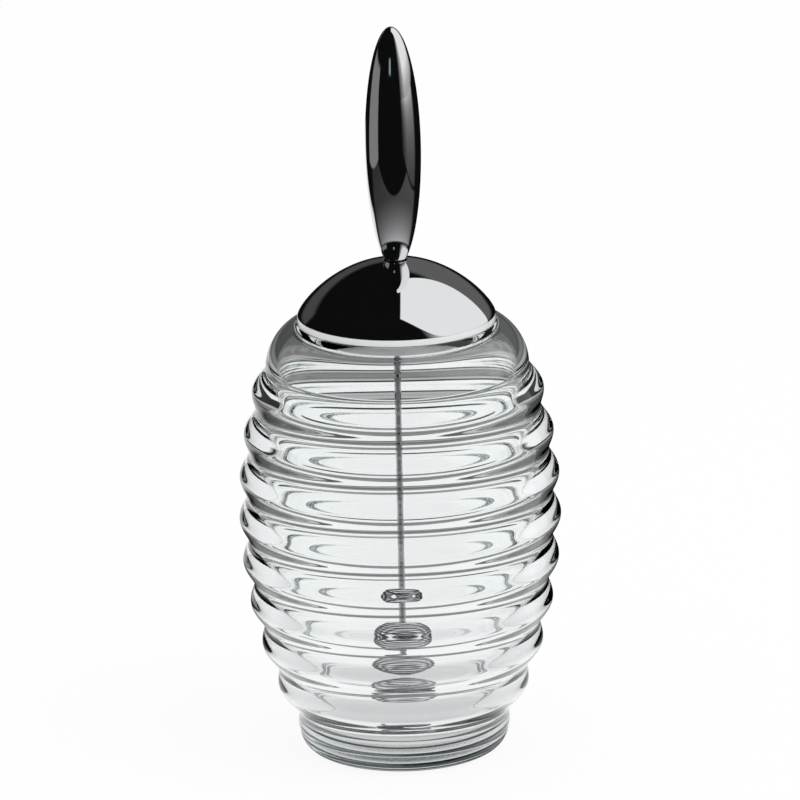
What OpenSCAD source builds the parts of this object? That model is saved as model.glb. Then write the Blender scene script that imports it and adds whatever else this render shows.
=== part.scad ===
// Ribbed glass honey pot with a domed lid, a tapered handle and a wound wire dipper under the lid.
// Millimetres, +Z up. The origin is the middle of the jar's base, on the table.

/* [Jar body] */
// Mean radius of the ribbed wall at its widest
body_r = 48.5; // [40:0.5:60]
// Height of the widest place
body_mid_z = 77.5; // [72:0.5:82]
// Radius of the long arc that the wall follows from foot to shoulder
body_arc_r = 153.5; // [130:0.5:200]
// Wall thickness of the glass, from the mean line of the ribs
wall_t = 4.7; // [3:0.1:6]
// Thickness of the glass floor
floor_t = 7; // [5:0.5:8]
// Radius of the rounded edge under the foot
foot_round = 6.5; // [4:0.5:8]
// Radius of the rounded corner between the floor and the wall, inside
floor_round = 9; // [4:0.5:12]

/* [Ribs] */
// Number of ribs below the shoulder
rib_count = 8; // [6:1:8]
// Height from one rib to the next
rib_pitch = 13.67; // [12.5:0.1:14.2]
// Height of the lowest rib's crest
rib_first_z = 20.1; // [18:0.1:22]
// Height of the wave from its mean line to a crest, outside
rib_wave = 1.18; // [0.5:0.02:1.5]
// The same wave on the inner surface, which the mould reaches less
rib_inner_wave = 0.32; // [0:0.02:0.6]

/* [Shoulder and mouth] */
// Radius of the round shoulder
shoulder_round = 15.7; // [14.5:0.1:16.5]
// Thickness of the glass on top of the shoulder
shoulder_t = 4.7; // [3:0.1:6]
// Radius of the mouth's bore
mouth_r = 29.6; // [28.5:0.1:30.5]
// Rounding of the mouth's upper and lower edges
mouth_round = 0.8; // [0.4:0.1:1.4]

/* [Lid] */
// How far the dome's rim stands out past the mouth
rim_overhang = 0.85; // [0.5:0.05:2]
// Height of the dome above its rim
dome_h = 17.2; // [13:0.05:22]
// Fullness of the dome, 1 for an ellipse and more for a steeper cone
dome_fullness = 1.62; // [1.1:0.02:1.8]
// Thickness of the pressed sheet
sheet_t = 0.8; // [0.5:0.1:1]
// Depth of the collar that guides the lid in the mouth
collar_depth = 3; // [2:0.5:4]
// Thickness of the milky ring between the lid's collar and the glass
seal_t = 1; // [0.6:0.1:1.2]
// How far the ring reaches down past the collar
seal_lap = 3.4; // [1:0.1:4]
// How far the ring's flange reaches out over the glass
seal_flange_w = 0.8; // [0.4:0.1:2]
// Thickness of that flange, on which the dome's rim stands
seal_flange_t = 1.9; // [1:0.1:2.5]

/* [Handle] */
// Largest radius of the handle
handle_r = 8.55; // [6:0.05:12]
// Half the length that the handle's oval would have if its foot were not cut
handle_half_l = 38.1; // [28:0.1:50]
// Length of the oval's tip that the foot's cut takes off
handle_foot_cut = 2.6; // [1.5:0.05:4]

/* [Clamp] */
// Radius of the threaded stud that holds the handle
stud_r = 1.5; // [1.2:0.05:2]
// Length of the stud inside the handle
stud_l = 9; // [5:0.5:14]
// Radius of the flange on the clamping bush
bush_r = 4; // [3:0.1:6]
// Thickness of that flange
bush_flange_t = 1.5; // [1:0.1:3]
// How far the bush's sleeve reaches down past the plate
bush_sleeve_below = 2; // [1:0.5:4]
// Length of the rod inside the sleeve
rod_socket_l = 7; // [4:0.5:9]
// Wall of that sleeve
bush_sleeve_t = 1; // [0.6:0.1:1.5]
// Thickness of the spring washer
washer_t = 0.6; // [0.4:0.1:1]

/* [Dipper] */
// Radius of the dipper's rod
rod_r = 1.05; // [0.8:0.05:1.5]
// Height of the rod's lower end above the glass floor
rod_end_h = 34.2; // [30:0.1:45]
// Radius of the winding's first turn, to the wire's centre
coil_top_r = 5; // [3.5:0.1:6]
// Radius of the winding's widest turn
coil_r = 9.6; // [8:0.1:12]
// Radius of the winding's last turn
coil_end_r = 6.4; // [4:0.1:8]
// How far down the widest turn lies, 0 for the top and 1 for the lower end
coil_belly = 0.72; // [0.5:0.02:0.85]
// Number of turns
coil_turns = 10; // [7:0.5:11]
// Radius of the winding's wire
wire_r = 0.65; // [0.5:0.05:0.8]
// Height of the bend in which the wire leaves the rod's end
coil_bend_h = 1.5; // [1.2:0.1:3]
// Clearance between the winding and the glass floor
coil_floor_gap = 5.8; // [3:0.1:8]

/* [Fits] */
// Gap between fixed pieces that slip over each other
slip_gap = 0.03; // [0.02:0.01:0.05]
// Gap between pieces that lift or turn past each other
run_gap = 0.1; // [0.05:0.01:0.15]

/* [Hidden] */
$fn = 96;
glass_colour = [0.85, 0.92, 0.92, 0.45];
chrome_colour = "silver";
steel_colour = "slategray";
clear_colour = [0.95, 0.96, 0.96, 0.7];
steps_per_rib = 8;
arc_steps = 6;

// The jar's wall. The mean line is one long arc, and the ribs are a wave on it.
function mean_r(z) = body_r - body_arc_r + sqrt(pow(body_arc_r, 2) - pow(z - body_mid_z, 2));
function wave(z) = cos(360 * (z - rib_first_z) / rib_pitch);
function outer_r(z) = mean_r(z) + rib_wave * wave(z);
function inner_r(z) = mean_r(z) - wall_t + rib_inner_wave * wave(z);
function arc_points(r, z, radius, from, to, steps) =
    [for (i = [0:steps]) let (a = from + (to - from) * i / steps) [r + radius * cos(a), z + radius * sin(a)]];

rib_step = rib_pitch / steps_per_rib;
inner_step = rib_step * 2;
foot_top_z = foot_round;
foot_centre_r = outer_r(foot_top_z) - foot_round;
corner_z = floor_t + floor_round;
corner_centre_r = inner_r(corner_z) - floor_round;

// The shoulder is an arc that runs on to the mouth's rounded edge, with a smaller arc inside it.
shoulder_z = rib_first_z + rib_pitch * (rib_count - 0.5);
shoulder_centre_r = outer_r(shoulder_z) - shoulder_round;
edge_r = mouth_r + mouth_round;
edge_z = shoulder_z + sqrt(pow(shoulder_round - mouth_round, 2) - pow(edge_r - shoulder_centre_r, 2));
shoulder_end = atan2(edge_z - shoulder_z, edge_r - shoulder_centre_r);
glass_top_z = shoulder_end < 90 ? edge_z + mouth_round : shoulder_z + shoulder_round;
inner_run = inner_r(shoulder_z) - shoulder_centre_r;
inner_rise = shoulder_round - shoulder_t;
inner_end = acos((edge_r - shoulder_centre_r) / inner_run);
function inner_point(a) = [shoulder_centre_r + inner_run * cos(a), shoulder_z + inner_rise * sin(a)];
inner_edge_z = inner_point(inner_end)[1];

outer_wall = [for (z = [foot_top_z + rib_step / 2:rib_step:shoulder_z - rib_step / 2]) [outer_r(z), z]];
inner_wall = [for (z = [corner_z + inner_step / 2:inner_step:shoulder_z - inner_step / 2]) [inner_r(z), z]];

module jar_outline() {
    polygon(concat(
        [[0, 0]],
        arc_points(foot_centre_r, foot_top_z, foot_round, -90, 0, arc_steps),
        outer_wall,
        arc_points(shoulder_centre_r, shoulder_z, shoulder_round, 0, shoulder_end, arc_steps * 2),
        arc_points(edge_r, edge_z, mouth_round, shoulder_end + 15, 180, 5),
        arc_points(edge_r, inner_edge_z + mouth_round, mouth_round, 180, 250, 4),
        [for (i = [arc_steps - 1:-1:0]) inner_point(inner_end * i / arc_steps)],
        [for (i = [len(inner_wall) - 1:-1:0]) inner_wall[i]],
        arc_points(corner_centre_r, corner_z, floor_round, 0, -90, arc_steps),
        [[0, floor_t]]));
}

module jar() {
    color(glass_colour) rotate_extrude() jar_outline();
}

// The lid stands on the flange of a milky ring, which lies on the glass round the mouth.
rim_r = mouth_r + rim_overhang;
seal_z = glass_top_z + run_gap;
plate_z = seal_z + seal_flange_t + run_gap / 2;
rim_z = plate_z;
seat_r = handle_r * sqrt(1 - pow(1 - handle_foot_cut / handle_half_l, 2)) + 0.2;
seal_out_r = mouth_r - run_gap;
collar_r = seal_out_r - seal_t - run_gap / 2;
stud_hole_r = stud_r + slip_gap;

function dome_point(r, h, a) = [r * sin(a), rim_z + h * pow(cos(a), dome_fullness)];
seat_angle = asin(seat_r / rim_r);
seat_z = dome_point(rim_r, dome_h, seat_angle)[1];
dome_steps = 22;
dome_outside = [for (i = [0:dome_steps])
    dome_point(rim_r, dome_h, seat_angle + (90 - seat_angle) * i / dome_steps)];
dome_inside = [for (i = [dome_steps:-1:0])
    dome_point(rim_r - sheet_t, seat_z - sheet_t - rim_z, 90 * i / dome_steps)];
plate_edge_angle = acos(pow((plate_z + sheet_t - rim_z) / (seat_z - sheet_t - rim_z), 1 / dome_fullness));
plate_r = (rim_r - sheet_t) * sin(plate_edge_angle) - slip_gap;

module lid_dome() {
    color(chrome_colour) difference() {
        rotate_extrude() polygon(concat([[0, seat_z]], dome_outside, dome_inside));
        translate([0, 0, seat_z - sheet_t * 2]) cylinder(r = stud_hole_r, h = sheet_t * 3);
    }
}

// A pressed tray closes the dome from below, and its collar drops into the mouth.
collar_z = plate_z - collar_depth;
tray_r = collar_r - sheet_t;
sleeve_r = rod_r + slip_gap + bush_sleeve_t;
rod_hole_r = sleeve_r + slip_gap;
module lid_plate() {
    color(chrome_colour) rotate_extrude() polygon([
        [rod_hole_r, plate_z], [tray_r, plate_z], [tray_r, collar_z], [collar_r, collar_z],
        [collar_r, plate_z], [plate_r, plate_z], [plate_r, plate_z + sheet_t], [rod_hole_r, plate_z + sheet_t]]);
}

seal_flange_r = mouth_r + seal_flange_w;
seal_end_z = collar_z - seal_lap;
module lid_seal() {
    color(clear_colour) rotate_extrude() polygon([
        [seal_out_r - seal_t, seal_end_z], [seal_out_r, seal_end_z], [seal_out_r, seal_z],
        [seal_flange_r, seal_z], [seal_flange_r, seal_z + seal_flange_t],
        [seal_out_r - seal_t, seal_z + seal_flange_t]]);
}

// The handle is a long oval that stands on the dome's flat seat.
handle_z = seat_z - handle_foot_cut + handle_half_l;
handle_steps = 40;
foot_angle = acos((seat_z - handle_z) / handle_half_l);
handle_outside = [for (i = [0:handle_steps]) let (a = foot_angle * i / handle_steps)
    [handle_r * sin(a), handle_z + handle_half_l * cos(a)]];
module handle() {
    color(chrome_colour) difference() {
        rotate_extrude() polygon(concat(
            [[0, handle_z + handle_half_l]], [for (i = [1:handle_steps]) handle_outside[i]], [[0, seat_z]]));
        translate([0, 0, seat_z - 1]) cylinder(r = stud_hole_r, h = stud_l + 2);
    }
}

// The bush's stud passes the dome and screws into the handle. Its sleeve holds the rod.
washer_r = bush_r - 0.3;
washer_angle = asin(washer_r / (rim_r - sheet_t));
washer_z = dome_point(rim_r - sheet_t, seat_z - sheet_t - rim_z, washer_angle)[1] - slip_gap - washer_t;
flange_z = washer_z - bush_flange_t;
sleeve_z = plate_z - bush_sleeve_below;
module clamp_bush() {
    color(steel_colour) difference() {
        union() {
            translate([0, 0, flange_z]) cylinder(r = stud_r, h = seat_z + stud_l - flange_z);
            translate([0, 0, flange_z]) cylinder(r = bush_r, h = bush_flange_t);
            translate([0, 0, sleeve_z]) cylinder(r = sleeve_r, h = flange_z - sleeve_z + bush_flange_t / 2);
        }
        translate([0, 0, sleeve_z - 1]) cylinder(r = rod_r + slip_gap, h = rod_socket_l + 1);
    }
}

module spring_washer() {
    color(steel_colour) translate([0, 0, washer_z]) difference() {
        cylinder(r = washer_r, h = washer_t);
        translate([0, 0, -1]) cylinder(r = stud_hole_r, h = washer_t + 2);
    }
}

rod_z = floor_t + rod_end_h;
module dipper_rod() {
    color(steel_colour) translate([0, 0, rod_z]) cylinder(r = rod_r, h = sleeve_z + rod_socket_l - rod_z);
}

// The wire bends out from the rod's end to the first turn, winds down to a wide belly and ends open below.
wire_sides = 6;
rings_per_turn = 24;
lead_rings = rings_per_turn / 2;
coil_top_z = rod_z - coil_bend_h;
coil_end_z = floor_t + coil_floor_gap + wire_r;
coil_rings = coil_turns * rings_per_turn;
function coil_radius(u) = u < coil_belly
    ? coil_top_r + (coil_r - coil_top_r) * sin(90 * u / coil_belly)
    : coil_end_r + (coil_r - coil_end_r) * cos(90 * (u - coil_belly) / (1 - coil_belly));
function coil_point(i) = let (u = i / coil_rings, a = 180 + 360 * coil_turns * u)
    [coil_radius(u) * cos(a), coil_radius(u) * sin(a), coil_top_z - (coil_top_z - coil_end_z) * u];
function lead_point(i) = let (t = i / lead_rings, r = coil_top_r * (1 - cos(180 * t)) / 2)
    [r * cos(180 * t), r * sin(180 * t), rod_z - coil_bend_h * sin(90 * t)];
coil_path = concat([for (i = [0:lead_rings - 1]) lead_point(i)], [for (i = [0:coil_rings]) coil_point(i)],
    [coil_point(coil_rings) + wire_r * 2 * direction(coil_point(coil_rings - 1), coil_point(coil_rings))]);

function direction(p, q) = (q - p) / norm(q - p);
function tangent(path, i) = direction(path[max(i - 1, 0)], path[min(i + 1, len(path) - 1)]);
function radial(path, i) = let (t = tangent(path, i), out = abs(t[2]) > 0.98 ? [1, 0, 0] : cross([0, 0, 1], t))
    direction([0, 0, 0], out - (out * t) * t);
function ring(path, i) = let (t = tangent(path, i), n = radial(path, i), b = cross(t, n))
    [for (k = [0:wire_sides - 1]) let (a = 360 * k / wire_sides) path[i] + wire_r * (cos(a) * n + sin(a) * b)];

module tube(path) {
    count = len(path);
    points = [for (i = [0:count - 1]) each ring(path, i)];
    sides = [for (i = [0:count - 2]) for (k = [0:wire_sides - 1])
        let (a = i * wire_sides + k, b = i * wire_sides + (k + 1) % wire_sides)
        each [[a, b, b + wire_sides], [a, b + wire_sides, a + wire_sides]]];
    last = (count - 1) * wire_sides;
    caps = [for (k = [1:wire_sides - 2]) each [[0, k + 1, k], [last, last + k, last + k + 1]]];
    polyhedron(points, concat(sides, caps));
}

module dipper_coil() {
    color(steel_colour) tube(coil_path);
}

// The least gap from the wire to itself, measured between points at least half a turn apart.
path_end = lead_rings + coil_rings;
least_gap = min([for (i = [0:2:path_end - lead_rings])
    for (j = [i + lead_rings:2:min(i + 2 * rings_per_turn, path_end)])
    norm(coil_path[i] - coil_path[j])]) - wire_r * 2;
echo(least_gap_in_coil = least_gap);

jar();
lid_dome();
lid_plate();
lid_seal();
handle();
clamp_bush();
spring_washer();
dipper_rod();
dipper_coil();
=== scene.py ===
# A ribbed glass honey pot with a domed steel lid and a wire dipper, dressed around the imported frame.
# Profiles are in millimetres. Meshes, the floor, the lamp and the camera are in metres.

import math

import bmesh
import bpy
from mathutils import Matrix, Vector


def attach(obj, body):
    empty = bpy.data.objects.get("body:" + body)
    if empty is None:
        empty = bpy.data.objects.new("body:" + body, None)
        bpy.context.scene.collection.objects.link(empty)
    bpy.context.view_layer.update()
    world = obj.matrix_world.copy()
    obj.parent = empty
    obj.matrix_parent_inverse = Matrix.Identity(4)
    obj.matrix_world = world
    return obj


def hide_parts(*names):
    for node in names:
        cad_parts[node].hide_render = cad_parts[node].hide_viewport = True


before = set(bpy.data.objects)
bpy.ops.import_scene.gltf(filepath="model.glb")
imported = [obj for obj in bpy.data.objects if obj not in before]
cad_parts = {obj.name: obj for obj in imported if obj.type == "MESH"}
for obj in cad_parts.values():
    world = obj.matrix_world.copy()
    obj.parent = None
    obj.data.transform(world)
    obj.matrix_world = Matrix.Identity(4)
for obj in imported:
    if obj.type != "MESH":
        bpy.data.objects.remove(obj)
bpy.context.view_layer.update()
scene = bpy.context.scene
MM = 0.001
QUARTER = math.pi / 2

# Sizes in millimetres, as in the part's source
BODY_R, BODY_MID_Z, BODY_ARC_R = 48.5, 77.5, 153.5
WALL, FLOOR, FOOT_ROUND, FLOOR_ROUND = 4.7, 7.0, 6.5, 9.0
RIBS, PITCH, FIRST_Z, WAVE, INNER_WAVE = 8, 13.67, 20.1, 1.18, 0.32
SHOULDER_ROUND, SHOULDER_T, MOUTH_R, MOUTH_ROUND = 15.7, 4.7, 29.6, 0.8
RIM_OVERHANG, DOME_H, DOME_FULLNESS, SHEET, FLANGE_T = 0.85, 17.2, 1.62, 0.8, 1.9
RUN_GAP, SEAT_MARGIN = 0.1, 0.2
HANDLE_R, HANDLE_HALF, FOOT_CUT = 8.55, 38.1, 2.6
ROD_END_H, WIRE_R, WELD = 34.2, 0.65, 0.2
COIL_TOP_R, COIL_R, COIL_END_R, COIL_BELLY = 5.0, 9.6, 6.4, 0.72
COIL_TURNS, COIL_BEND_H, COIL_FLOOR_GAP = 10, 1.5, 5.8

# Fineness of the meshes: facets round an axis, and steps along a profile or a wire
BODY_FACETS, HANDLE_FACETS, WIRE_FACETS = 256, 192, 16
CORNER_STEPS, RIB_STEPS, SHOULDER_STEPS, INNER_SHOULDER_STEPS = 20, 36, 60, 48
MOUTH_STEPS, LOWER_MOUTH_STEPS = 14, 10
DOME_STEPS, DOME_INSIDE_STEPS, HOLE_STEP, HANDLE_STEPS = 120, 60, 5, 160
TURN_STEPS, LEAD_STEPS = 48, 24


# Forms of the wall and the dome
def mean_r(z):
    return BODY_R - BODY_ARC_R + math.sqrt(BODY_ARC_R ** 2 - (z - BODY_MID_Z) ** 2)


def wave(z):
    return math.cos(2 * math.pi * (z - FIRST_Z) / PITCH)


def outer_r(z):
    return mean_r(z) + WAVE * wave(z)


def inner_r(z):
    return mean_r(z) - WALL + INNER_WAVE * wave(z)


def dome_point(r, h, a):
    """A point of a dome of radius r and height h that stands on the rim, at the angle a from its top."""
    return (r * math.sin(a), RIM_Z + h * math.cos(a) ** DOME_FULLNESS)


# Places worked out from the sizes
SHOULDER_Z = FIRST_Z + PITCH * (RIBS - 0.5)
SHOULDER_MID_R = outer_r(SHOULDER_Z) - SHOULDER_ROUND
EDGE_R = MOUTH_R + MOUTH_ROUND
EDGE_Z = SHOULDER_Z + math.sqrt((SHOULDER_ROUND - MOUTH_ROUND) ** 2 - (EDGE_R - SHOULDER_MID_R) ** 2)
GLASS_TOP_Z = EDGE_Z + MOUTH_ROUND
RIM_R = MOUTH_R + RIM_OVERHANG
RIM_Z = GLASS_TOP_Z + RUN_GAP + FLANGE_T + RUN_GAP / 2
SEAT_R = HANDLE_R * math.sqrt(1 - (1 - FOOT_CUT / HANDLE_HALF) ** 2) + SEAT_MARGIN
SEAT_ANGLE = math.asin(SEAT_R / RIM_R)
SEAT_Z = dome_point(RIM_R, DOME_H, SEAT_ANGLE)[1]
HANDLE_Z = SEAT_Z - FOOT_CUT + HANDLE_HALF
ROD_END_Z = FLOOR + ROD_END_H
COIL_TOP_Z = ROD_END_Z - COIL_BEND_H
COIL_LOW_Z = FLOOR + COIL_FLOOR_GAP + WIRE_R


# Mesh tools
def arc(r, z, radius, start, end, steps):
    """Points round the middle (r, z), with the angles in degrees."""
    turns = [math.radians(start + (end - start) * i / steps) for i in range(steps + 1)]
    return [(r + radius * math.cos(a), z + radius * math.sin(a)) for a in turns]


def between(low, high, step):
    """Even steps from low to high, without the two ends."""
    count = max(1, round((high - low) / step))
    return [low + (high - low) * i / count for i in range(1, count)]


def new_object(name, verts, faces, material):
    mesh = bpy.data.meshes.new(name)
    mesh.from_pydata(verts, [], faces)
    bm = bmesh.new()
    bm.from_mesh(mesh)
    bmesh.ops.recalc_face_normals(bm, faces=bm.faces)
    bm.to_mesh(mesh)
    bm.free()
    for poly in mesh.polygons:
        poly.use_smooth = True
    mesh.materials.append(material)
    obj = bpy.data.objects.new(name, mesh)
    scene.collection.objects.link(obj)
    return obj


def revolve(name, profile, material, count):
    """Turn a profile of (r, z) millimetres round the upright axis. A point with r of 0 is a pole."""
    verts, rows = [], []
    for r, z in profile:
        if r < 1e-6:
            rows.append([len(verts)])
            verts.append((0.0, 0.0, z * MM))
            continue
        rows.append(list(range(len(verts), len(verts) + count)))
        for i in range(count):
            a = 2 * math.pi * i / count
            verts.append((r * math.cos(a) * MM, r * math.sin(a) * MM, z * MM))
    faces = []
    for low, high in zip(rows, rows[1:]):
        for i in range(count):
            j = (i + 1) % count
            if len(low) == 1:
                faces.append((low[0], high[j], high[i]))
            elif len(high) == 1:
                faces.append((low[i], low[j], high[0]))
            else:
                faces.append((low[i], low[j], high[j], high[i]))
    return new_object(name, verts, faces, material)


def tube(name, path, radius, material):
    """A round wire along a path of millimetres, closed at both ends."""
    verts, faces = [], []
    sides, last = WIRE_FACETS, len(path) - 1
    for i, p in enumerate(path):
        t = (path[min(i + 1, last)] - path[max(i - 1, 0)]).normalized()
        side = Vector((1, 0, 0)) if abs(t.z) > 0.98 else Vector((0, 0, 1)).cross(t)
        side = (side - side.dot(t) * t).normalized()
        up = t.cross(side)
        for k in range(sides):
            a = 2 * math.pi * k / sides
            verts.append((p + radius * (math.cos(a) * side + math.sin(a) * up)) * MM)
    for i in range(last):
        for k in range(sides):
            j = (k + 1) % sides
            a, b = i * sides, (i + 1) * sides
            faces.append((a + k, a + j, b + j, b + k))
    faces.append(tuple(range(sides)))
    faces.append(tuple(last * sides + k for k in range(sides)))
    return new_object(name, verts, faces, material)


# Material tools
def principled(name, **values):
    """A material whose shader has these values, with an underscore for each space in a socket's name."""
    material = bpy.data.materials.new(name)
    material.use_nodes = True
    tree = material.node_tree
    shader = tree.nodes["Principled BSDF"]
    for key, value in values.items():
        shader.inputs[key.replace("_", " ")].default_value = value
    return material, tree, shader


def noise(tree, scale, detail=3.0, stretch=None):
    coords = tree.nodes.new("ShaderNodeTexCoord")
    texture = tree.nodes.new("ShaderNodeTexNoise")
    texture.inputs["Scale"].default_value = scale
    texture.inputs["Detail"].default_value = detail
    source = coords.outputs["Object"]
    if stretch:
        mapping = tree.nodes.new("ShaderNodeMapping")
        mapping.inputs["Scale"].default_value = stretch
        tree.links.new(source, mapping.inputs["Vector"])
        source = mapping.outputs["Vector"]
    tree.links.new(source, texture.inputs["Vector"])
    return texture.outputs["Fac"]


def roughen(tree, shader, value, low, high):
    """Roughness from low to high, after a value from 0 to 1."""
    node = tree.nodes.new("ShaderNodeMapRange")
    node.inputs["To Min"].default_value = low
    node.inputs["To Max"].default_value = high
    tree.links.new(value, node.inputs["Value"])
    tree.links.new(node.outputs["Result"], shader.inputs["Roughness"])


def tint(tree, shader, value, dark, light):
    """Base colour from dark to light, after a value from 0 to 1."""
    ramp = tree.nodes.new("ShaderNodeMix")
    ramp.data_type = "RGBA"
    ramp.inputs["A"].default_value = (*dark, 1)
    ramp.inputs["B"].default_value = (*light, 1)
    tree.links.new(value, ramp.inputs["Factor"])
    tree.links.new(ramp.outputs["Result"], shader.inputs["Base Color"])


# Materials
def make_glass():
    """Clear glass that turns a greyish blue-green with its depth."""
    material, tree, shader = principled("clear_glass", Roughness=0.0, IOR=1.5, Transmission_Weight=1.0)
    tint(tree, shader, noise(tree, scale=30.0), dark=(0.98, 0.992, 0.99), light=(0.99, 1.0, 0.998))
    haze = tree.nodes.new("ShaderNodeVolumeAbsorption")
    haze.inputs["Color"].default_value = (0.45, 0.64, 0.66, 1)
    haze.inputs["Density"].default_value = 7.0
    tree.links.new(haze.outputs[0], tree.nodes["Material Output"].inputs["Volume"])
    return material


def make_polished(name, dark, light, low, high):
    """Polished metal with faint clouds in its colour and a fine grain in its roughness."""
    material, tree, shader = principled(name, Metallic=1.0)
    tint(tree, shader, noise(tree, scale=60.0), dark, light)
    roughen(tree, shader, noise(tree, scale=900.0), low, high)
    return material


def make_plain_steel():
    """Turned steel, with rings round the upright axis."""
    material, tree, shader = principled("plain_steel", Metallic=1.0)
    rings = noise(tree, scale=400.0, detail=2.0, stretch=(1.0, 1.0, 12.0))
    tint(tree, shader, rings, dark=(0.52, 0.53, 0.54), light=(0.66, 0.67, 0.68))
    roughen(tree, shader, rings, low=0.25, high=0.4)
    return material


def make_silicone():
    """Milky silicone that lets a little light through."""
    material, tree, shader = principled("milky_silicone", IOR=1.41, Transmission_Weight=0.15)
    cloud = noise(tree, scale=120.0)
    tint(tree, shader, cloud, dark=(0.93, 0.94, 0.94), light=(0.97, 0.975, 0.975))
    roughen(tree, shader, cloud, low=0.12, high=0.3)
    return material


glass = make_glass()
mirror = make_polished("mirror_steel", (0.88, 0.89, 0.91), (0.92, 0.925, 0.94), low=0.012, high=0.03)
wire = make_polished("polished_wire", (0.44, 0.45, 0.46), (0.52, 0.53, 0.54), low=0.06, high=0.10)
plain_steel = make_plain_steel()
silicone = make_silicone()


# The glass jar
def jar_profile():
    """From the middle of the base up the outside, over the mouth, and down to the floor inside."""
    rib_step = PITCH / RIB_STEPS
    top_angle = math.degrees(math.atan2(EDGE_Z - SHOULDER_Z, EDGE_R - SHOULDER_MID_R))
    # The arcs of the mouth's edges start and end where they meet the glass beside them, in degrees
    edge_start, lower_edge_end = top_angle + 8, 250
    run, rise = inner_r(SHOULDER_Z) - SHOULDER_MID_R, SHOULDER_ROUND - SHOULDER_T
    turn = math.acos((EDGE_R - SHOULDER_MID_R) / run)
    lower_edge_z = SHOULDER_Z + rise * math.sin(turn) + MOUTH_ROUND
    corner_z = FLOOR + FLOOR_ROUND
    points = [(0, 0)]
    points += arc(outer_r(FOOT_ROUND) - FOOT_ROUND, FOOT_ROUND, FOOT_ROUND, -90, 0, CORNER_STEPS)
    points += [(outer_r(z), z) for z in between(FOOT_ROUND, SHOULDER_Z, rib_step)]
    points += arc(SHOULDER_MID_R, SHOULDER_Z, SHOULDER_ROUND, 0, top_angle, SHOULDER_STEPS)
    points += arc(EDGE_R, EDGE_Z, MOUTH_ROUND, edge_start, 180, MOUTH_STEPS)
    points += arc(EDGE_R, lower_edge_z, MOUTH_ROUND, 180, lower_edge_end, LOWER_MOUTH_STEPS)
    turns = [turn * i / INNER_SHOULDER_STEPS for i in reversed(range(INNER_SHOULDER_STEPS))]
    points += [(SHOULDER_MID_R + run * math.cos(a), SHOULDER_Z + rise * math.sin(a)) for a in turns]
    points += [(inner_r(z), z) for z in reversed(between(corner_z, SHOULDER_Z, rib_step))]
    points += arc(inner_r(corner_z) - FLOOR_ROUND, corner_z, FLOOR_ROUND, 0, -90, CORNER_STEPS)
    return points + [(0, FLOOR)]


jar = revolve("jar_glass", jar_profile(), glass, BODY_FACETS)
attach(jar, "jar")
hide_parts("jar")


# The lid's dome, one closed skin round its sheet and flat where the handle stands
def dome_profile():
    span = QUARTER - SEAT_ANGLE
    turns = [SEAT_ANGLE + span * i / DOME_STEPS for i in range(DOME_STEPS + 1)]
    outside = [dome_point(RIM_R, DOME_H, a) for a in turns]
    turns = [QUARTER * i / DOME_INSIDE_STEPS for i in range(DOME_INSIDE_STEPS, HOLE_STEP - 1, -1)]
    inside = [dome_point(RIM_R - SHEET, SEAT_Z - SHEET - RIM_Z, a) for a in turns]
    hole_edge = (inside[-1][0], SEAT_Z)
    return [hole_edge] + outside + inside + [hole_edge]


dome = revolve("lid_dome_shell", dome_profile(), mirror, BODY_FACETS)
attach(dome, "lid")
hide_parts("lid_dome")


# The handle, an oval that is cut off flat at its foot
def handle_profile():
    foot_angle = math.acos((SEAT_Z - HANDLE_Z) / HANDLE_HALF)
    turns = [foot_angle * i / HANDLE_STEPS for i in range(HANDLE_STEPS + 1)]
    oval = [(HANDLE_R * math.sin(a), HANDLE_Z + HANDLE_HALF * math.cos(a)) for a in turns]
    return oval + [(0, SEAT_Z)]


handle = revolve("handle_oval", handle_profile(), mirror, HANDLE_FACETS)
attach(handle, "lid")
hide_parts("handle")


# The dipper's winding
def coil_radius(u):
    """Radius at the share u of the way down, with the widest turn at the belly."""
    if u < COIL_BELLY:
        return COIL_TOP_R + (COIL_R - COIL_TOP_R) * math.sin(QUARTER * u / COIL_BELLY)
    return COIL_END_R + (COIL_R - COIL_END_R) * math.cos(QUARTER * (u - COIL_BELLY) / (1 - COIL_BELLY))


def coil_point(u):
    a, r = math.pi + 2 * math.pi * COIL_TURNS * u, coil_radius(u)
    return Vector((r * math.cos(a), r * math.sin(a), COIL_TOP_Z - (COIL_TOP_Z - COIL_LOW_Z) * u))


def lead_point(u):
    """The half turn that leads from the rod's end out to the first turn."""
    a = math.pi * u
    r = COIL_TOP_R * (1 - math.cos(a)) / 2
    return Vector((r * math.cos(a), r * math.sin(a), ROD_END_Z - COIL_BEND_H * math.sin(a / 2)))


def coil_path():
    """From inside the rod's end to the winding's lower end, which runs on straight by a wire's width."""
    steps = COIL_TURNS * TURN_STEPS
    path = [Vector((0, 0, ROD_END_Z + WELD))]
    path += [lead_point(i / LEAD_STEPS) for i in range(LEAD_STEPS)]
    path += [coil_point(i / steps) for i in range(steps + 1)]
    return path + [path[-1] + 2 * WIRE_R * (path[-1] - path[-2]).normalized()]


coil = tube("dipper_winding", coil_path(), WIRE_R, wire)
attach(coil, "lid")
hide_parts("dipper_coil")

# Finishes of the nodes that stay
for node, material in (("lid_plate", mirror), ("lid_seal", silicone), ("clamp_bush", plain_steel),
                       ("spring_washer", plain_steel), ("dipper_rod", wire)):
    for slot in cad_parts[node].material_slots:
        slot.material = material


# Node tools, which find their tree from the sockets that they are given
def feed(socket, value):
    """Link a socket to another one, or give it a plain value."""
    if isinstance(value, bpy.types.NodeSocket):
        socket.id_data.links.new(value, socket)
    else:
        socket.default_value = value


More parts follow.
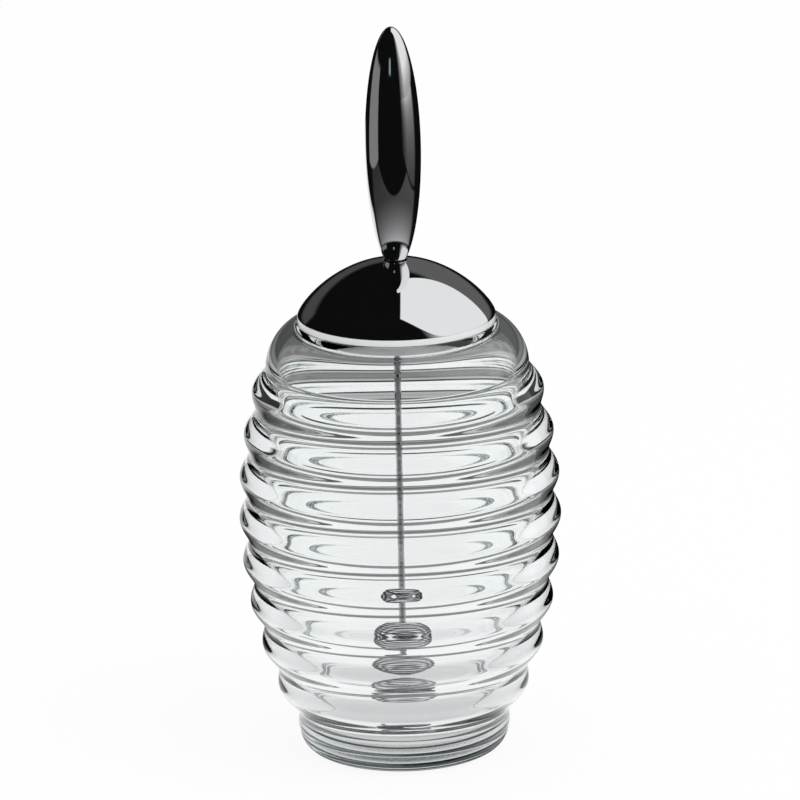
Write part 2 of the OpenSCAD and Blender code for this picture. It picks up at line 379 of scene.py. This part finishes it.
def math_node(operation, *values, clamp=False):
    tree = next(value.id_data for value in values if isinstance(value, bpy.types.NodeSocket))
    node = tree.nodes.new("ShaderNodeMath")
    node.operation = operation
    node.use_clamp = clamp
    for socket, value in zip(node.inputs, values):
        feed(socket, value)
    return node.outputs[0]


def chain(operation, first, *others):
    """The values joined two by two by one operation."""
    for value in others:
        first = math_node(operation, first, value)
    return first


def product(*values):
    return chain("MULTIPLY", *values)


def total(*values):
    return chain("ADD", *values)


def brightest(*values):
    return chain("MAXIMUM", *values)


def above(value, place, soft):
    """0 below the place and 1 above it, with a change as wide as soft."""
    return math_node("ADD", math_node("DIVIDE", total(value, -place), soft), 0.5, clamp=True)


def below(value, place, soft):
    return above(value, place, -soft)


def degrees_from_front(x, y):
    """The direction's turn from the camera's side towards the right, in degrees."""
    return product(math_node("ARCTAN2", x, product(y, -1.0)), math.degrees(1))


def right_turn(azimuth):
    """1 towards the right, where the soft box's paler foot shows on the floor and above it."""
    start, end = 50, 101
    return product(above(azimuth, start, soft=26), below(azimuth, end, soft=10))


def coordinates(tree, kind):
    coords = tree.nodes.new("ShaderNodeTexCoord")
    split = tree.nodes.new("ShaderNodeSeparateXYZ")
    tree.links.new(coords.outputs[kind], split.inputs[0])
    return split.outputs


def light(tree, kind, strength, color=(1, 1, 1, 1)):
    node = tree.nodes.new(kind)
    node.inputs["Color"].default_value = color
    feed(node.inputs["Strength"], strength)
    return node.outputs[0]


def emission(tree, strength):
    return light(tree, "ShaderNodeEmission", strength)


def background(tree, strength, color=(1, 1, 1, 1)):
    return light(tree, "ShaderNodeBackground", strength, color)


def mix_shader(factor, a, b):
    tree = factor.id_data
    node = tree.nodes.new("ShaderNodeMixShader")
    for socket, value in zip(node.inputs, (factor, a, b)):
        tree.links.new(value, socket)
    return node.outputs[0]


def camera_ray(tree):
    return tree.nodes.new("ShaderNodeLightPath").outputs["Is Camera Ray"]


def by_ray(matt_sees, metal_sees, glass_sees):
    """What a reflected or refracted ray sees, unless a matt surface scattered it before."""
    path = matt_sees.id_data.nodes.new("ShaderNodeLightPath")
    clean = math_node("SUBTRACT", 1.0, path.outputs["Diffuse Depth"], clamp=True)
    surface = mix_shader(product(path.outputs["Is Glossy Ray"], clean), matt_sees, metal_sees)
    return mix_shader(product(path.outputs["Is Transmission Ray"], clean), surface, glass_sees)


# The floor, with the camera on the side of negative y
FOOT_EDGE = 0.036


def sheet_for_metal(x, y, distance):
    """A lit sheet before the pot that fades with the distance and is a little brighter to the right."""
    front, back, left, right, bow = -0.397, 0.1, -0.6, 0.47, 0.4
    brightness, fall, least, slope, middle = 2.375, 10.0, 0.05, 0.7, 1.02
    area = product(
        above(total(y, product(x, x, -bow)), front, soft=0.015), below(y, back, soft=0.1),
        above(x, left, soft=0.02), below(x, right, soft=0.02), above(distance, FOOT_EDGE, soft=0.008))
    fade = math_node("MULTIPLY", math_node("EXPONENT", product(distance, -fall)), brightness, clamp=True)
    return product(area, brightest(fade, least), total(product(x, slope), middle))


def left_floor(x, azimuth):
    edge, start, end, level = -0.6, -114, -64, 0.2
    turn = product(above(azimuth, start, soft=4), below(azimuth, end, soft=4))
    return product(below(x, edge, soft=0.02), turn, level)


def right_floor(x, azimuth, distance):
    edge, rise, base = 0.49, 0.165, -0.03
    return product(above(x, edge, soft=0.02), right_turn(azimuth), total(product(distance, rise), base))


def floor_behind(x, y):
    left, right, near, far, level = -0.35, 0.0, 0.2, 0.75, 0.85
    across = product(above(x, left, soft=0.06), below(x, right, soft=0.03))
    return product(across, above(y, near, soft=0.06), below(y, far, soft=0.06), level)


def floor_under_foot(y, distance):
    """Painted shade under the pot's foot, with a pale half moon of painted light at the back, as the
    foot's own reflections see it.
    """
    half, moon_r, moon_level, base = 0.012, 0.027, 0.68, 0.05
    moon = product(above(y, half, soft=0.016), below(distance, moon_r, soft=0.008), moon_level)
    return product(below(distance, FOOT_EDGE, soft=0.008), total(moon, base))


def floor_for_metal(x, y):
    distance = math_node("SQRT", total(product(x, x), product(y, y)))
    azimuth = degrees_from_front(x, y)
    darkest = 0.004
    return brightest(
        sheet_for_metal(x, y, distance), left_floor(x, azimuth), right_floor(x, azimuth, distance),
        floor_behind(x, y), floor_under_foot(y, distance), darkest)


def floor_for_glass(x, y):
    """A sheet that is bright behind the pot, the pot's shade on it, and past a dark gap a grey room."""
    distance = math_node("SQRT", total(product(x, x), product(y, y)))
    front, back, half_width, least = -0.395, 0.4, 0.5, 0.02
    across = below(math_node("ABSOLUTE", x), half_width, soft=0.06)
    area = product(above(y, front, soft=0.03), below(y, back, soft=0.02), across)
    first_y, first_rise, second_y, second_rise = -0.16, 0.53, -0.02, 0.45
    first = product(above(y, first_y, soft=0.12), first_rise)
    second = product(above(y, second_y, soft=0.16), second_rise)
    shade_r, shade_depth = 0.033, 0.1
    shade = total(product(above(distance, shade_r, soft=0.01), shade_depth), 1 - shade_depth)
    sheet = product(area, total(first, second, least), shade)
    room_start, room_end, room_level, far_start, far_level = 0.6, 1.3, 0.5, 1.0, 0.2
    room = product(above(y, room_start, soft=0.08), below(y, room_end, soft=0.6), room_level)
    far_room = product(above(y, far_start, soft=0.6), far_level)
    front_end, front_level, darkest = -0.05, 0.26, 0.03
    before = product(below(y, front_end, soft=0.1), front_level)
    return brightest(sheet, room, far_room, before, darkest)


def make_floor():
    """A pale matt floor that looks almost white to the camera, so that only a soft shadow shows on it."""
    material, tree, shader = principled(
        "pale_floor", Base_Color=(0.92, 0.92, 0.92, 1), Roughness=0.9, Specular_IOR_Level=0.0)
    half, own_light = 3, 0.9
    x, y = coordinates(tree, "Object")[:2]
    surface = mix_shader(product(camera_ray(tree), own_light), shader.outputs[0], emission(tree, 1.0))
    surface = by_ray(surface, emission(tree, floor_for_metal(x, y)), emission(tree, floor_for_glass(x, y)))
    tree.links.new(surface, tree.nodes["Material Output"].inputs["Surface"])
    mesh = bpy.data.meshes.new("floor")
    corners = [(-half, -half, 0), (half, -half, 0), (half, half, 0), (-half, half, 0)]
    mesh.from_pydata(corners, [], [(0, 1, 2, 3)])
    mesh.materials.append(material)
    floor = bpy.data.objects.new("floor", mesh)
    scene.collection.objects.link(floor)
    return floor


floor = make_floor()


# The world: plain white to the camera, and a dim room with a soft box to metal and glass
def region(azimuth, elevation, turn, height, soft, level):
    """A patch of the room between two turns and two heights, in degrees."""
    across = product(above(azimuth, turn[0], soft), below(azimuth, turn[1], soft))
    return product(across, above(elevation, height[0], soft), below(elevation, height[1], soft), level)


def soft_box(directions):
    """A tall soft box to the right that reaches overhead, cut out by three planes through the pot."""
    level, horizon, planes = 0.82, -0.02, ((1.0, 0.0, -0.06), (0.57, 1.0, 0.28), (0.78, -1.0, 0.5))
    sides = [total(*[product(*pair) for pair in zip(directions, plane)]) for plane in planes]
    inside = [above(side, 0.0, soft=0.012) for side in sides]
    return product(*inside, above(directions[2], horizon, soft=0.25), level)


def box_foot(azimuth, elevation):
    """The soft box's paler foot, which grows brighter with its height."""
    low, high, base, rise, brightest_level = -12, 46, 0.44, 0.02, 0.82
    level = math_node("MINIMUM", total(product(elevation, rise), base), brightest_level)
    height = product(below(elevation, high, soft=34), above(elevation, low, soft=4))
    return product(right_turn(azimuth), height, level)


def grey_walls(x, y, elevation):
    """Dim walls behind the pot and at both sides, which only the glass shows."""
    behind = above(y, 0.2, soft=0.3)
    low_top, low_level, high_top, high_level = 4, 0.25, 26, 0.08
    low = product(below(elevation, low_top, soft=4), behind, low_level)
    high = product(below(elevation, high_top, soft=10), behind, high_level)
    side_top, side_start, side_level = 2, 0.8, 0.6
    sides = above(math_node("ABSOLUTE", x), side_start, soft=0.1)
    return brightest(low, high, product(below(elevation, side_top, soft=4), sides, side_level))


def make_world():
    world = bpy.data.worlds.new("studio")
    world.use_nodes = True
    tree = world.node_tree
    tree.nodes.clear()
    directions = coordinates(tree, "Generated")
    x, y, z = directions
    azimuth = degrees_from_front(x, y)
    elevation = product(math_node("ARCSINE", z), math.degrees(1))
    darkest, fill = 0.004, 0.9
    left = region(azimuth, elevation, turn=(-116, -65), height=(-18, 6), soft=3, level=0.2)
    right_back = region(azimuth, elevation, turn=(100, 181), height=(4, 46), soft=6, level=0.11)
    left_back = region(azimuth, elevation, turn=(-181, -130), height=(4, 22), soft=6, level=0.06)
    foot = box_foot(azimuth, elevation)
    room = brightest(soft_box(directions), foot, left, right_back, left_back, darkest)
    grey_room = brightest(room, grey_walls(x, y, elevation))
    window = region(azimuth, elevation, turn=(-14, -4), height=(7, 16), soft=2, level=0.34)
    added = tree.nodes.new("ShaderNodeAddShader")
    tree.links.new(background(tree, room), added.inputs[0])
    tree.links.new(background(tree, window, color=(0.6, 0.85, 1.0, 1)), added.inputs[1])
    surface = by_ray(background(tree, fill), added.outputs[0], background(tree, grey_room))
    surface = mix_shader(camera_ray(tree), surface, background(tree, 1.0))
    output = tree.nodes.new("ShaderNodeOutputWorld")
    tree.links.new(surface, output.inputs["Surface"])
    return world


scene.world = make_world()


# A soft lamp that casts the shadow
def make_lamp():
    place, target, width, power = Vector((0.7, -0.5, 1.3)), Vector((0.0, 0.0, 0.1)), 0.9, 6.0
    lamp = bpy.data.lights.new("soft_lamp", "AREA")
    lamp.shape = "RECTANGLE"
    lamp.size, lamp.size_y = width, width
    lamp.energy = power
    obj = bpy.data.objects.new("soft_lamp", lamp)
    turned = (place - target).to_track_quat("Z", "Y").to_matrix().to_4x4()
    obj.matrix_world = Matrix.Translation(place) @ turned
    obj.visible_glossy = False
    obj.visible_transmission = False
    scene.collection.objects.link(obj)


make_lamp()


# The camera, as fitted to the photograph
def make_camera():
    photo_width_px, focal_length_px, sensor_mm = 800, 9534.2, 36
    place, tilt_down, roll = (0.0006, -2.8116, 0.9471), 0.2889, math.radians(-1.15)
    camera = bpy.data.cameras.new("camera")
    camera.sensor_width = sensor_mm
    camera.lens = focal_length_px / photo_width_px * sensor_mm
    camera.clip_start = 0.05
    view = bpy.data.objects.new("camera", camera)
    scene.collection.objects.link(view)
    turned = Matrix.Rotation(QUARTER - tilt_down, 4, "X") @ Matrix.Rotation(roll, 4, "Z")
    view.matrix_world = Matrix.Translation(place) @ turned
    return view


scene.camera = make_camera()
scene.view_settings.view_transform = "Standard"
